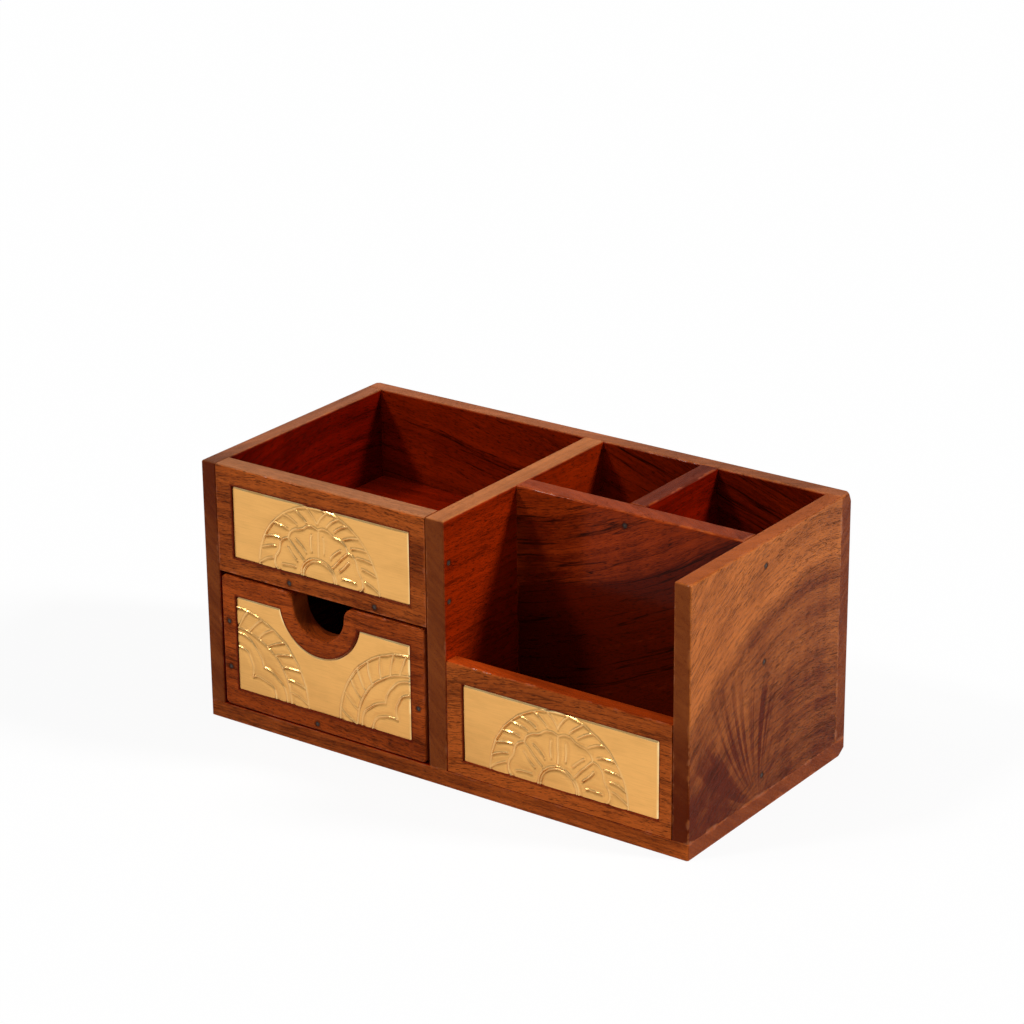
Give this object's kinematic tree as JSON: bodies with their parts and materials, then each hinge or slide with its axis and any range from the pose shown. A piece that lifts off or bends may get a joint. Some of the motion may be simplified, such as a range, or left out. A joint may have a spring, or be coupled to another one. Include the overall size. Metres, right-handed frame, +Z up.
{
  "type": "pen stand with drawer",
  "caption": "Desk pen stand of wooden boards: an open tray over a sliding drawer with a finger scoop, beside a wide room and pen wells, with pressed brass plates on its fronts.",
  "frame": {"origin": "under the middle of the base, on the surface that the stand rests on", "axes": "+X to the right along the long side, +Y to the back and +Z up, seen from the front"},
  "size_m": [0.203, 0.101, 0.0975],
  "materials": {
    "wood": "satin lacquered rosewood",
    "brass": "pressed sheet, satin",
    "nail": "dark mild steel"
  },
  "bodies": {
    "case": {"base_board": "wood", "left_side": "wood", "right_side": "wood", "back_panel": "wood", "centre_divider": "wood", "cross_partition": "wood", "rear_divider": "wood", "tray_floor": "wood", "tray_front": "wood", "low_front": "wood", "tray_plate": "brass", "low_plate": "brass", "tray_front_nails": "nail", "left_side_nails": "nail", "divider_nails": "nail", "right_side_nails": "nail", "partition_nails": "nail", "back_nails": "nail", "base_nails": "nail"},
    "drawer": {"drawer_front": "wood", "drawer_plate": "brass", "drawer_bottom": "wood", "drawer_left_side": "wood", "drawer_right_side": "wood", "drawer_back": "wood", "drawer_front_nails": "nail", "drawer_side_nails": "nail", "drawer_bottom_nails": "nail"}
  },
  "joints": [
    {"name": "drawer_slide", "type": "slide", "parent": "case", "child": "drawer", "axis": [0, -1, 0], "range_m": [0, 0.083]}
  ]
}
